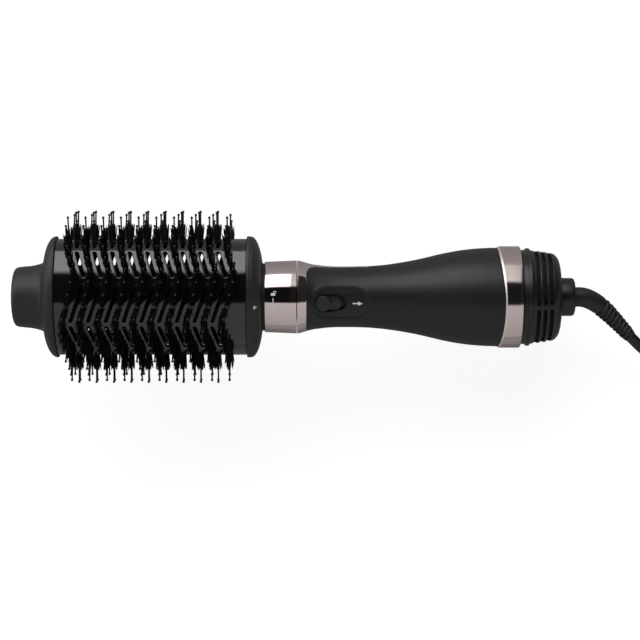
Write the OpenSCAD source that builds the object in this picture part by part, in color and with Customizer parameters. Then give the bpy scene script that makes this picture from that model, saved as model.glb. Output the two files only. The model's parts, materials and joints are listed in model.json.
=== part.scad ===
// Hot air brush: an oval vented brush head that twists and pulls off a
// handle holding a heater, a motor and a fan, on a swivelling cord.
// Every piece is drawn in the tool's own frame, with the cool tip's face at
// x = 0, the cord end at +X and the release button at +Z. lay() then sets
// the tool down on its bristles and rear band, with the floor at z = 0.

/* [Brush head] */
// Half width of the oval barrel
barrel_a = 34.8; // [34:0.1:35.5]
// Half thickness of the oval barrel
barrel_b = 26.8; // [26:0.1:27.5]
// Radius of the oval's tight ends
end_r = 20; // [19:0.5:21]
// How far the cap rims stand proud of the barrel
rim = 1.5; // [1:0.1:2]
// Radius of the cool tip's nose
nose_r = 17.8; // [17:0.1:18.5]
// Bristle columns along the barrel
columns = 10; // [4:1:10]
// Distance from one bristle column to the next
column_pitch = 10.33; // [10:0.01:10.5]
// Height of a ball-tipped pin above the barrel
pin_h = 16.8; // [15:0.1:18]
// Height of a bristle tuft above the barrel
tuft_h = 9.3; // [8:0.1:10]

/* [Handle] */
// Radius of the chrome neck ring where it meets the head
neck_r = 20.9; // [20.6:0.1:21.2]
// Thickness of the handle's shells
shell_t = 2; // [1.8:0.1:2.2]
// Radius of the rear band
band_r = 30.1; // [29.8:0.1:30.5]
// Travel of the release button
button_travel = 6; // [4:0.5:6]
// Turn between locked and unlocked
lock_turn = 26; // [20:1:26]
// Running clearance on a radius
fit = 0.05; // [0.03:0.01:0.08]

/* [Cord] */
// Diameter of the cord
cord_d = 6.6; // [6.2:0.1:6.8]
// Turns side by side in the coil
coil_rings = 3; // [2:1:3]
// Centreline radius of the coil's inner turns
coil_r = 36; // [34:1:37]

/* [Hidden] */
$fn = 64;

// Stations along the tool, from the cool tip's face
flange_x = 18.1;
tip_rim_x = 25.1;
barrel_x0 = 26.6;
barrel_x1 = 138.4;
collar_x1 = 147.7;
neck_x0 = 149;
neck_x1 = 167.9;
shell_x0 = 173.6;
wing_x1 = 211.4;
band_x0 = 286.2;
band_x1 = 299.7;
dial_x0 = 300;
dial_x1 = 323.3;
hub_x0 = 323.7;
hub_x1 = 332.4;
first_column_x = 34.9;
wall = 1.8;

// Outline of the oval: two wide arcs and two tight ones, tangent to each other
face_r = ((barrel_a - end_r) ^ 2 + barrel_b ^ 2 - end_r ^ 2) / (2 * (barrel_b - end_r));
end_y = barrel_a - end_r;
face_z = face_r - barrel_b;
join_a = atan(end_y / face_z);
face_s = face_r * join_a * PI / 180;
quarter_s = face_s + end_r * (90 - join_a) * PI / 180;

// Sectors of slots, as distances round the oval from the middle of the top
mid_s = 13.5;
side_s = 33;
end_s = 2 * quarter_s - side_s;
slot_w = 2;
bridge = 2.7;
edge_s = 5.1;
mid_drift = 4.5;
side_drift = -1;
// Distance from one pin to the next, and how far the pattern is set round towards +Y
unit_s = 5.2;
pattern_s = unit_s / 2;

// Resting pose: the lowest pins and the band's rear edge touch the floor
tip_r = 0.75;
pin_r = 0.4;
low_z = (face_r + pin_h - tip_r) * cos(pattern_s / face_r * 180 / PI) - face_z;
low_x = first_column_x + (columns - 1) * column_pitch;
drop = low_z - band_r;
run = band_x1 - low_x;
tilt = atan(drop / run) + asin(tip_r / norm([drop, run]));
lift = band_x1 * sin(tilt) + band_r * cos(tilt);
mid_x = 165.6;

// Profile of the handle, as [x, radius]
handle_line = [[168.2, 21.8], [170.5, 21.2], [173.6, 20.3], [177, 19.4], [180.5, 19], [186, 18.4],
    [193.5, 18.1], [205, 18.2], [217, 18.8], [229, 20.4], [240.7, 22.6], [252.5, 25.4],
    [258.4, 26.6], [264, 27.6], [270.2, 28.4], [276, 28.9], [282, 29.2], [289.5, 29.4]];
// Half width of the neck trim along the seam, as [x, half width]
wing_line = [[shell_x0, 10.5], [175.2, 6], [178, 3.4], [181, 2.4], [196, 1.1], [wing_x1, 0.3]];
scallop_r = 142;
scallop_x = 147.4;

// Release button and latch, along the top of the neck
bar_z = 13.6;
bar_h = 1.4;
bar_w = 5;
grip_x = 183.5;
grip_r = 4.6;
plate_x0 = 177;
plate_x1 = 193;
latch_x = 143.4;
spring_stop_x = plate_x1 + button_travel + 1.9;

// Locking parts
tube_r = 13;
tube_ri = 11.6;
spline_r = 13.8;
ring_r = 15.5;
ring_x0 = 126;
ring_x1 = 138;
bore_r = 14.2;
pocket_r = 16.1;

// Motor, fan and tail
shaft_r = 1;
motor_r = 12;
motor_x0 = 250;
motor_x1 = 275;
fan_x0 = 279;
fan_x1 = 291;
fan_r = 24.6;
bearing_r = 26.5;
cable_r = 6;
cable_ri = 4.5;
hub_r = 11.3;

// Route of the cord on the floor, with the floor at z = 0
relief_route = [[165.8, 0, 27.5], [171, -0.2, 27], [176.5, -2.3, 26.3], [182, -6.2, 25.2],
    [188, -12, 23.4], [194, -18.6, 21], [200, -25.5, 18]];
relief_rr = [6, 6, 5.8, 5.3, 4.8, 4.4, 3.9];
lead_route = [[200, -25.5, 18], [208, -34, 13.5], [217, -42, 9], [228, -48.2, 5.6],
    [240, -51.3, 4], [253, -51.4, 3.5], [264, -50, 3.4], [271, -49.2, 3.4]];
plug_route = [[271, -49.2, 9.9], [286, -48.8, 10], [300, -46.4, 10.6], [314, -43, 11.6],
    [326, -40.4, 12], [332, -40, 12]];
coil_x = 271;
plug_x = 332;
plug_y = -40;
plug_l = 44;
plug_w = 32;
plug_h = 24;

// Colours
black = [0.03, 0.03, 0.03];
soft_black = [0.07, 0.07, 0.07];
charcoal = [0.12, 0.12, 0.12];
rose = [0.72, 0.62, 0.6];
steel = [0.7, 0.7, 0.72];
mica = [0.8, 0.75, 0.62];
brass = [0.8, 0.65, 0.3];

// Sets the tool down on the floor
module lay() {
    translate([-mid_x, 0, lift]) rotate([0, tilt, 0]) children();
}

// Stands a shape's Z axis along the tool, with its X across and its Y up
module station(x) {
    translate([x, 0, 0]) rotate([90, 0, 90]) children();
}

// Turns a profile of [radius, x] points round the tool's axis
module turned(line) {
    station(0) rotate_extrude() polygon(line);
}

// A plain tube, or a rod where the inner radius is left out
module tube(x0, x1, r, ri = 0) {
    station(x0) difference() {
        cylinder(h = x1 - x0, r = r);
        if (ri > 0) translate([0, 0, -1]) cylinder(h = x1 - x0 + 2, r = ri);
    }
}

// A skin between two offsets of a profile of [x, radius] points
module skin(line, outer, inner) {
    turned(concat([for (p = line) [p[1] + outer, p[0]]],
        [for (i = [len(line) - 1 : -1 : 0]) [line[i][1] + inner, line[i][0]]]));
}

// The solid under an offset of a profile of [x, radius] points
module core(line, outer) {
    n = len(line) - 1;
    turned(concat([[0, line[0][0]]], [for (p = line) [p[1] + outer, p[0]]], [[0, line[n][0]]]));
}

// A slab right through the tool from one side to the other, drawn in x and z
module side_slab(outline) {
    rotate([90, 0, 0]) linear_extrude(height = 80, center = true) polygon(outline);
}

// The flat oval, grown by a margin; its ends may stand a hair prouder, for a clean crossing
module oval(grow, ends = 0) {
    reach = face_r * sin(join_a);
    intersection() {
        translate([0, -face_z]) circle(r = face_r + grow);
        translate([0, face_z]) circle(r = face_r + grow);
        square([2 * (reach + grow * sin(join_a)), 4 * face_r], center = true);
    }
    translate([end_y, 0]) circle(r = end_r + grow + ends);
    translate([-end_y, 0]) circle(r = end_r + grow + ends);
}

module oval_plate(x0, x1, grow, ends = 0) {
    station(x0) linear_extrude(height = x1 - x0) oval(grow, ends);
}

// Angle of the oval's outward normal from +Z, at a distance s round it
function normal_a(s) = s < 0 ? -normal_a(-s)
    : s > quarter_s ? 180 - normal_a(2 * quarter_s - s)
    : s > face_s ? join_a + (s - face_s) / end_r * 180 / PI
    : s / face_r * 180 / PI;

// Point of the oval whose normal stands at angle a
function oval_point(a, grow = 0) = abs(sin(a)) > sin(join_a)
    ? [sign(sin(a)) * end_y + (end_r + grow) * sin(a), (end_r + grow) * cos(a)]
    : [(face_r + grow) * sin(a), (face_r + grow) * cos(a) - sign(cos(a)) * face_z];

// Carries a shape to the barrel's surface at a place in the pattern, with its Z axis outwards
module on_barrel(x, s) {
    a = normal_a(s + pattern_s);
    p = oval_point(a);
    translate([x + drift(s), p[0], p[1]]) rotate([-a, 0, 0]) children();
}

// How far a column of bristles or slots drifts along the barrel at a place in the pattern
function drift(s) = s > end_s ? drift(s - 2 * quarter_s)
    : s < -side_s ? drift(s + 2 * quarter_s)
    : lookup(s, [[-side_s, -side_drift], [-mid_s, -mid_drift], [mid_s, mid_drift],
        [side_s, side_drift], [end_s, -side_drift]]);

// Solid between rings of points that run from a circle to the oval:
// each station is [x, radius, share of the oval, how far the oval grows]
module blend(stations, sides = 48) {
    rings = [for (t = stations) [for (i = [0 : sides - 1])
        let (a = 360 * i / sides, c = t[1] * [sin(a), cos(a)], p = oval_point(a, t[3]),
            q = c + (p - c) * t[2]) [t[0], q[0], q[1]]]];
    n = len(stations);
    polyhedron(
        points = [for (ring = rings) each ring],
        faces = concat(
            [for (k = [0 : n - 2]) for (i = [0 : sides - 1]) let (j = (i + 1) % sides)
                [k * sides + i, k * sides + j, (k + 1) * sides + j, (k + 1) * sides + i]],
            [[for (i = [sides - 1 : -1 : 0]) i]],
            [[for (i = [0 : sides - 1]) (n - 1) * sides + i]]));
}

// Quarter-round profile of [half width, x] points, from the collar's rim in to the neck
function dome(reach) = concat([[0, barrel_x1], [reach, barrel_x1]],
    [for (a = [0 : 9 : 90]) [neck_r + 0.3 + (reach - neck_r - 0.3) * cos(a),
        141 + (collar_x1 - 141) * sin(a)]], [[0, collar_x1]]);

// Tube swept along a route, with a radius at each point of it
module swept(route, radii, sides = 12) {
    n = len(route);
    rings = [for (k = [0 : n - 1])
        let (d = route[min(k + 1, n - 1)] - route[max(k - 1, 0)], f = d / norm(d),
            u = cross([0, 0, 1], f) / norm(cross([0, 0, 1], f)), v = cross(f, u))
        [for (i = [0 : sides - 1]) let (a = 360 * i / sides)
            route[k] + radii[k] * (u * cos(a) + v * sin(a))]];
    polyhedron(
        points = [for (ring = rings) each ring],
        faces = concat(
            [for (k = [0 : n - 2]) for (i = [0 : sides - 1]) let (j = (i + 1) % sides)
                [k * sides + i, (k + 1) * sides + i, (k + 1) * sides + j, k * sides + j]],
            [[for (i = [0 : sides - 1]) i]],
            [[for (i = [sides - 1 : -1 : 0]) (n - 1) * sides + i]]));
}

// Wedge of a disc between two angles, counted from +Z towards +Y
module wedge(x0, x1, r, a0, a1) {
    station(x0) linear_extrude(height = x1 - x0) intersection() {
        circle(r = r);
        polygon(concat([[0, 0]], [for (k = [0 : 4]) let (a = a0 + (a1 - a0) * k / 4)
            2 * r * [sin(a), cos(a)]]));
    }
}

// Turns a shape drawn at +Z round the tool, towards +Y
module around(a) {
    rotate([-a, 0, 0]) children();
}

// ---- Brush head ----

module cool_tip() {
    color(soft_black) lay() difference() {
        union() {
            turned([[0, 0], [nose_r - 3.5, 0], [nose_r - 1.6, 0.6], [nose_r - 0.5, 1.8],
                [nose_r, 3.6], [18.4, 10], [19.3, 14.6], [20.7, flange_x], [0, flange_x]]);
            blend([[flange_x - 0.4, 20.3, 0, 1.4], [flange_x + 0.3, 20.8, 0.06, 1.4], [19.35, 20.8, 0.36, 1.4],
                [20.4, 20.8, 0.62, 1.4], [22.1, 20.8, 0.85, 1.4], [24.2, 20.8, 0.97, 1.4],
                [tip_rim_x, 20.8, 0.99, 1.4], [tip_rim_x + 0.5, 20.8, 0.99, 1.4]]);
            oval_plate(tip_rim_x, barrel_x0 - 0.1, rim);
            oval_plate(barrel_x0 - 0.1, 31, -wall - 0.15);
        }
        tube(3, 40, 14.5);
        difference() {
            oval_plate(barrel_x0, 40, -wall - 2);
            tube(20, 33, 17.5);
        }
    }
}

// One row of vent slots, one in each sector round the oval
module slots(x) {
    for (turn = [0, 1]) rotate([180 * turn, 0, 0]) {
        slot(x, 0, 2 * mid_s);
        slot(x, (mid_s + side_s) / 2, side_s - mid_s);
        slot(x, -(mid_s + side_s) / 2, side_s - mid_s);
        for (out = [-1, 1])
            slot(x, quarter_s + out * (quarter_s - side_s + edge_s) / 2, quarter_s - side_s - edge_s);
    }
}

module slot(x, s, sector) {
    run = sector - bridge;
    lean = atan((drift(s + sector / 2 - 1) - drift(s - sector / 2 + 1)) / (sector - 2));
    on_barrel(x, s) rotate([0, 0, -lean]) translate([0, 0, -10])
        linear_extrude(height = 13) {
            square([slot_w, run - slot_w], center = true);
            translate([0, (run - slot_w) / 2]) circle(d = slot_w, $fn = 24);
            translate([0, -(run - slot_w) / 2]) circle(d = slot_w, $fn = 24);
        }
}

module barrel() {
    color(black) lay() difference() {
        oval_plate(barrel_x0, barrel_x1, 0);
        oval_plate(barrel_x0 - 1, barrel_x1 + 1, -wall);
        for (k = [0 : columns - 2]) slots(first_column_x + (k + 0.5) * column_pitch);
    }
}

module barrel_collar() {
    color(charcoal) lay() difference() {
        union() {
            intersection() {
                oval_plate(barrel_x1 + 0.1, collar_x1, rim, 0.03);
                turned(dome(36.35));
                union() for (turn = [0, 180]) rotate([turn, 0, 0])
                    side_slab([for (p = dome(28.35)) [p[1], p[0] > 0 ? p[0] : -5]]);
            }
            oval_plate(134, barrel_x1 + 0.1, -wall - 0.15);
        }
        difference() {
            oval_plate(133, barrel_x1, -wall - 2);
            tube(120, 145, 17.6);
        }
        tube(120, 150, bore_r);
        tube(120, ring_x1, ring_r + 0.2);
        wedge(142.8, 150, pocket_r, -lock_turn - 12, 12);
        for (a = [120, 180, 240]) around(a) translate([0, 0, 18.2]) tube(130, 150, 1.1);
        for (a = [120, 180, 240]) around(a) translate([0, 0, 18.2]) tube(146, 150, 2);
    }
    color(charcoal) lay() tube(124, 134, 17.6, ring_r + 0.2);
}

module diffuser_tube() {
    color(steel) lay() difference() {
        union() {
            tube(31.1, 133.9, 18.9, 17.7);
            tube(130, 133.9, 22, 17.7);
        }
        for (k = [0 : 2 : 8]) for (a = [0 : 60 : 300])
            around(a) translate([first_column_x + (k + 0.5) * column_pitch, 0, 10])
                cylinder(h = 15, r = 3, $fn = 24);
        for (a = [120, 180, 240]) around(a) translate([0, 0, 18.2]) tube(120, 140, 1.05);
    }
}

module collar_screws() {
    color(steel) lay() for (a = [120, 180, 240]) around(a) translate([0, 0, 18.2]) {
        tube(134, 146, 1);
        tube(146, 147.5, 1.9);
    }
}

module ring_clip() {
    color(steel) lay() tube(124.2, 125.7, ring_r + 0.15, bore_r);
}

// Places in the pattern at which the pins and tufts of one column stand
side_units = [for (k = [0 : 3]) mid_s + 2.3 + k * 5];
end_units = [for (k = [-2.5, -1.5, 1.5, 2.5]) quarter_s + k * edge_s];
edge_units = [for (side = [-1, 1]) for (k = [-0.5, 0.5]) side * quarter_s + k * edge_s];
face_units = concat([for (k = [-2 : 2]) k * unit_s], side_units, -side_units);
under_units = [for (s = face_units) s + 2 * quarter_s];
left_right_units = concat(end_units, [for (s = end_units) s - 2 * quarter_s]);
every_unit = concat(face_units, under_units, left_right_units);
all_columns = [0 : columns - 1];
inner_columns = [1 : columns - 2];
// The units on the barrel's sharp edges stand between the columns, in line with no slot
edge_columns = [for (k = [0 : columns - 2]) k + 0.35];

// A ball-tipped pin, standing in the barrel's wall
module pin() {
    translate([0, 0, -1]) cylinder(h = pin_h - tip_r + 1, r = pin_r, $fn = 16);
    translate([0, 0, pin_h - tip_r]) sphere(r = tip_r, $fn = 16);
}

module tuft() {
    translate([0, 0, -0.5]) cylinder(h = tuft_h + 0.5, r1 = 1.9, r2 = 2.6, $fn = 20);
}

// Pins or tufts at the given columns and places in the pattern
module units(cols, places) {
    lay() for (k = cols) for (s = places)
        on_barrel(first_column_x + k * column_pitch, s) children();
}

module pins_rear_column() { color(black) units([columns - 1], every_unit) pin(); }
module pins_front_column() { color(black) units([0], every_unit) pin(); }
module pins_top() { color(black) units(inner_columns, face_units) pin(); }
module pins_bottom() { color(black) units(inner_columns, under_units) pin(); }
module pins_sides() {
    color(black) units(inner_columns, left_right_units) pin();
    color(black) units(edge_columns, edge_units) pin();
}
module tufts_top() { color(black) units(all_columns, face_units) tuft(); }
module tufts_bottom() { color(black) units(all_columns, under_units) tuft(); }
module tufts_sides() {
    color(black) units(all_columns, left_right_units) tuft();
    color(black) units(edge_columns, edge_units) tuft();
}

// ---- Lock between head and handle ----

// Three splines that key the locking ring to the spigot
module splines(x0, x1, r, w) {
    for (a = [60, 180, 300]) around(a)
        translate([x0, -w / 2, 0]) cube([x1 - x0, w, r]);
}

module locking_ring() {
    color(steel) lay() difference() {
        tube(ring_x0, ring_x1 - 0.1, ring_r, tube_r + 0.2);
        intersection() {
            splines(ring_x0 - 1, ring_x1 + 1, 20, 3.6);
            tube(ring_x0 - 1, ring_x1 + 1, spline_r + 0.3);
        }
    }
}

module spigot() {
    color(charcoal) lay() difference() {
        union() {
            turned([[tube_ri, 114], [tube_r, 114], [tube_r, 163], [19, 163], [19, 166],
                [tube_r, 166], [tube_r, 201], [16, 206], [16, 206.4], [15, 206.4], [15, 206],
                [tube_ri, 201]]);
            intersection() {
                splines(116, 163, 20, 3);
                tube(116, 163, spline_r, 12);
            }
        }
        translate([160, -3.2, bar_z - 0.3]) cube([8, 6.4, bar_h + 0.8]);
    }
}

module neck_seal() {
    color(black) lay() tube(collar_x1 + 0.2, neck_x0 - 0.1, 20, 16.6);
}

module neck_ring() {
    color(rose) lay() turned([[16.6, neck_x0], [neck_r - 0.4, neck_x0], [neck_r, neck_x0 + 0.5],
        [21.7, neck_x1], [19.2, neck_x1], [19.2, neck_x0 + 1.5], [16.6, neck_x0 + 1.5]]);
}

module neck_trim() {
    half = concat([[shell_x0 - 1, 10.4]], [for (p = wing_line) [p[0], p[1] - 0.1]]);
    last = len(half) - 1;
    color(rose) lay() {
        skin([[168.2, 21.8], [170.5, 21.2], [shell_x0 - 0.1, 20.3]], 0, -shell_t);
        tube(168.2, 169.2, 20.5, 17.4);
        tube(166.2, 168.3, 19.1, 17.4);
        intersection() {
            skin(handle_line, 0, -shell_t);
            side_slab(concat(half, [for (i = [last : -1 : 0]) [half[i][0], -half[i][1]]]));
        }
    }
}

// ---- Handle ----

// Half of the handle's shell, above the seam
module half_shell() {
    intersection() {
        skin(handle_line, 0, -shell_t);
        side_slab(concat([[shell_x0, 40]], wing_line, [[wing_x1 + 0.4, 0], [300, 0], [300, 40]]));
        translate([scallop_x, 0, 0]) cylinder(h = 50, r = scallop_r, $fn = 180);
    }
}

// Obround prism that stands on the tool's axis
module obround(x0, x1, r) {
    linear_extrude(height = 40) {
        translate([x0 + r, -r]) square([x1 - x0 - 2 * r, 2 * r]);
        translate([x0 + r, 0]) circle(r = r);
        translate([x1 - r, 0]) circle(r = r);
    }
}

module front_shell() {
    color(soft_black) lay() difference() {
        union() {
            half_shell();
            for (y = [-24, 24]) translate([272, y, 0.1]) cylinder(h = 9, r = 2);
            translate([spring_stop_x, -2, bar_z]) cube([0.9, 4, 3.6]);
        }
        obround(178.7, 197.2, 5.5);
        difference() {
            obround(176.4, 209.4, 10.6);
            core(handle_line, -1);
        }
        for (y = [-24, 24]) translate([272, y, -1]) cylinder(h = 9, r = 1.25);
    }
}

module back_shell() {
    color(soft_black) lay() difference() {
        union() {
            mirror([0, 0, 1]) half_shell();
            for (y = [-24, 24]) translate([272, y, -10]) cylinder(h = 9.9, r = 2);
        }
        for (y = [-24, 24]) translate([272, y, -30]) cylinder(h = 31, r = 1.3);
        for (y = [-24, 24]) translate([272, y, -30]) cylinder(h = 20, r = 2.4);
    }
}

module shell_screws() {
    color(steel) lay() for (y = [-24, 24]) translate([272, y, 0]) {
        translate([0, 0, -10]) cylinder(h = 16, r = 1.2);
        translate([0, 0, -11.5]) cylinder(h = 1.5, r = 2.2);
    }
}

module release_button() {
    color(soft_black) lay() {
        translate([plate_x0, -5.6, bar_z]) cube([plate_x1 - plate_x0, 11.2, bar_h]);
        translate([latch_x, -bar_w / 2, bar_z]) cube([plate_x0 - latch_x, bar_w, bar_h]);
        translate([grip_x, 0, bar_z]) cylinder(h = 4.6, r = grip_r);
        translate([grip_x, 0, bar_z + 4.6]) cylinder(h = 0.7, r1 = grip_r, r2 = grip_r - 0.7);
    }
}

module button_spring() {
    color(steel) lay() translate([0, 0, bar_z + 0.9])
        for (x = [plate_x1 + 0.3 : 1.25 : spring_stop_x - 0.3]) station(x) rotate_extrude()
            translate([0.85, 0]) circle(r = 0.2, $fn = 16);
}

module mica_tube() {
    color(mica) lay() tube(206.5, 248, 15.7, 15.2);
}

module mica_boards() {
    color(mica) lay() {
        translate([208, -0.4, -14.8]) cube([38, 0.8, 29.6]);
        translate([208, -14.8, -0.4]) cube([38, 29.6, 0.8]);
    }
}

module heater_coils() {
    color(steel) lay() for (x = [211 : 6 : 243]) station(x) rotate_extrude()
        translate([12.6, 0]) circle(r = 0.9, $fn = 16);
}

module thermal_cutout() {
    color(brass) lay() translate([222, 0.5, 0.5]) cube([10, 6, 6]);
}

module thermal_fuse() {
    color(steel) lay() translate([0, -4, 4]) tube(220, 232, 1.6);
}

module motor_can() {
    color(steel) lay() difference() {
        tube(motor_x0, motor_x1, motor_r);
        tube(motor_x0 + 1, motor_x1 - 1, motor_r - 1);
        tube(motor_x0 - 1, motor_x1 + 1, shaft_r + fit);
    }
}

module motor_magnets() {
    color(charcoal) lay() intersection() {
        tube(254, 271, motor_r - 1, 8.8);
        translate([250, -6, -15]) cube([30, 12, 30]);
    }
}

module motor_rotor() {
    color(steel) lay() {
        tube(247, fan_x1, shaft_r);
        tube(255, 270, 8.4, shaft_r - 0.05);
    }
}

module motor_mount() {
    color(charcoal) lay() {
        tube(252, 272, motor_r + 1.6, motor_r + 0.05);
        tube(252, 272, 21.6, 20.2);
        for (a = [0 : 60 : 300]) around(a)
            translate([256, -0.6, motor_r + 1.4]) cube([14, 1.2, 7.2]);
    }
}

module impeller() {
    color(charcoal) lay() {
        tube(fan_x0, fan_x1, 8, shaft_r + 0.01);
        intersection() {
            tube(fan_x0, fan_x1, fan_r, 7.8);
            for (a = [0 : 360 / 7 : 359]) around(a)
                translate([(fan_x0 + fan_x1) / 2, 0, 7]) rotate([0, 0, 38])
                    translate([-8.5, -0.6, 0]) cube([17, 1.2, 20]);
        }
    }
}

module fan_shroud() {
    color(charcoal) lay() tube(277, 293, 26.2, 25);
}

module rear_band() {
    color(rose) lay() difference() {
        tube(band_x0, band_x1, band_r, 28.2);
        intersection() {
            translate([scallop_x, 0, -50]) cylinder(h = 100, r = scallop_r + 0.1, $fn = 180);
            tube(band_x0 - 1, band_x1, 40);
        }
    }
}

module tail_frame() {
    color(charcoal) lay() {
        tube(293.2, 299.6, 28.1, 24.5);
        tube(299, 304, bearing_r, 24.5);
        tube(296, 329.6, cable_r, cable_ri);
        for (a = [60, 180, 300]) around(a)
            translate([296, -1.5, cable_r - 0.5]) cube([3, 3, 19.5]);
    }
}

module switch_board() {
    color([0.1, 0.3, 0.15]) lay() intersection() {
        tube(300.6, 302.2, 24.3, 10);
        translate([300, -30, 0]) cube([10, 60, 30]);
    }
}

// ---- Dial ----

// Outline of the dial, as [x, radius]
dial_line = [[306.2, 27.7], [312, 27.1], [318.5, 26], [321, 24.7], [322.6, 22.4], [dial_x1, 19]];
slot_rows = [309, 312.8, 316.6];

module control_dial() {
    color(charcoal) lay() difference() {
        turned(concat([[bearing_r + fit, dial_x0], [27.9, dial_x0], [27.9, 302.7], [28.7, 303],
            [29, 303.5], [29, 305.2], [28.6, 305.6], [27.8, 305.8]],
            [for (p = dial_line) [p[1], p[0]]],
            [[cable_r + 0.3, dial_x1], [cable_r + 0.3, dial_x1 - 2], [18, dial_x1 - 2],
            [21.4, 321.4], [23.2, 320], [24.4, 318], [26.1, 306.4], [bearing_r + fit, 304.4]]));
        for (x = slot_rows) difference() {
            tube(x - 0.6, x + 0.6, 40, 20);
            for (a = [0, 90]) around(a) translate([x - 2, -1.35, -40]) cube([4, 2.7, 80]);
        }
    }
}

module contact_ring() {
    color(charcoal) lay() {
        tube(304.8, 306, 26, 19);
    }
}

module wipers() {
    color(brass) lay() for (a = [100, 180, 260]) around(a)
        translate([302.7, -1.5, 20]) cube([2.1, 3, 3]);
}

module inlet_filter() {
    color(steel) lay() skin([[306.6, 25.6], [317.5, 24]], 0, -0.4);
}

// ---- Cord ----

module swivel_hub() {
    color(soft_black) lay() turned([[cable_r + fit, hub_x0], [hub_r, hub_x0], [hub_r, 330.6],
        [hub_r - 0.8, hub_x1 - 0.4], [hub_r - 1.8, hub_x1], [cord_d / 2 + 0.05, hub_x1],
        [cord_d / 2 + 0.05, 330.4], [7.6, 330.4], [7.6, 328.2], [cable_r + fit, 328.2]]);
}

module hub_clip() {
    color(steel) lay() tube(328.3, 329.3, 7.2, cable_r + 0.01);
}

module inner_cord() {
    color(black) lay() tube(303, hub_x1, cord_d / 2);
}

module strain_relief() {
    color(black) swept(relief_route, relief_rr);
}

module cord_lead() {
    color(black) swept(lead_route, [for (p = lead_route) cord_d / 2], 10);
}

module cord_coil() {
    wide = coil_rings * cord_d;
    color(black) translate([coil_x, 0, 0.05]) rotate_extrude()
        translate([coil_r - cord_d / 2, 0]) square([wide + 0.1, 2 * cord_d]);
}

module plug_lead() {
    color(black) swept(plug_route, [for (p = plug_route) cord_d / 2], 10);
}

module plug_body() {
    color(black) difference() {
        translate([plug_x, plug_y - plug_w / 2, 0.1]) cube([plug_l, plug_w, plug_h]);
        for (x = [9, 25]) translate([plug_x + x, plug_y - 5, plug_h - 3]) cube([10, 10, 5]);
    }
}

module plug_blades() {
    color(brass) for (y = [-6.35, 6.35])
        translate([plug_x + plug_l, plug_y + y - 0.75, 8.9]) cube([17, 1.5, 6.3]);
}

module plug_button(x) {
    translate([plug_x + x + 0.3, plug_y - 4.7, plug_h - 1.6]) cube([9.4, 9.4, 3]);
}

module test_button() { color(charcoal) plug_button(9); }
module reset_button() { color([0.5, 0.1, 0.1]) plug_button(25); }

cool_tip();
barrel();
barrel_collar();
diffuser_tube();
collar_screws();
ring_clip();
pins_rear_column();
pins_front_column();
pins_top();
pins_bottom();
pins_sides();
tufts_top();
tufts_bottom();
tufts_sides();
locking_ring();
neck_seal();
neck_ring();
neck_trim();
spigot();
front_shell();
back_shell();
release_button();
button_spring();
mica_tube();
mica_boards();
heater_coils();
thermal_cutout();
thermal_fuse();
motor_can();
motor_magnets();
motor_mount();
motor_rotor();
impeller();
fan_shroud();
shell_screws();
rear_band();
tail_frame();
switch_board();
control_dial();
contact_ring();
wipers();
inlet_filter();
swivel_hub();
hub_clip();
inner_cord();
strain_relief();
cord_lead();
cord_coil();
plug_lead();
plug_body();
plug_blades();
test_button();
reset_button();
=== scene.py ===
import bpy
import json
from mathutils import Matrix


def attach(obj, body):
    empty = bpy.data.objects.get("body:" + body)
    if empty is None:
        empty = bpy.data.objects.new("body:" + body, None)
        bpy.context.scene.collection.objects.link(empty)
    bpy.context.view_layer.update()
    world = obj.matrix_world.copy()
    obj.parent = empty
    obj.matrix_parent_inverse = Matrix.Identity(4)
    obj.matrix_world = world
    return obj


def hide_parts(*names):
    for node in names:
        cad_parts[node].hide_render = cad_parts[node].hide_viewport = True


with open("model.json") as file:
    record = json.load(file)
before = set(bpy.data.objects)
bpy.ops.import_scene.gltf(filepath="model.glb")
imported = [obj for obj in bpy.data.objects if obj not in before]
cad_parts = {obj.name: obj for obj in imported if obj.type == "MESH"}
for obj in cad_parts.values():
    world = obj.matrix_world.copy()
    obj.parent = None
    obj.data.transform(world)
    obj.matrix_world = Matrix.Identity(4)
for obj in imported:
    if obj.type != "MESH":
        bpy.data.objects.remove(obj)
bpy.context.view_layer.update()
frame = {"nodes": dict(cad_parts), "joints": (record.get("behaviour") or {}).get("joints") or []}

# Hot air brush, lying on a pale floor with its cord coiled behind it.
# Sizes are in millimetres in the tool's own frame: x runs from the nose to the cord, z towards the
# release button, and the tool's axis is y = z = 0. row() carries them to the frame's metres.
import json
import math
import bmesh
import bpy
import numpy as np
from mathutils import Matrix, Vector


# ---------------------------------------------------------------- camera
# A long lens looks square at the switch side of the tool, which lies rolled a little away from
# it. The tool's direction comes from the control dial's joint, and its nose from the pose at rest.
DIAL = next(joint for joint in frame["joints"] if joint["name"] == "control_dial")
TILT = math.atan2(-DIAL["axis"][2], DIAL["axis"][0])
NOSE = np.array([-0.1656, 0.0, 0.053279])
ROLL = math.radians(13.0)


def row(points):
    """Row-frame metres of tool-frame millimetres: a turn about Y by the tilt, then a move to the nose."""
    p = np.asarray(points, float) / 1000
    x = p[..., 0] * math.cos(TILT) + p[..., 2] * math.sin(TILT)
    z = p[..., 2] * math.cos(TILT) - p[..., 0] * math.sin(TILT)
    return np.stack([x, p[..., 1], z], -1) + NOSE


def way(vector):
    """Row-frame direction of a tool-frame direction."""
    return Vector(row(np.array(vector, float) * 1000) - row([0.0, 0.0, 0.0])).normalized()


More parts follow.
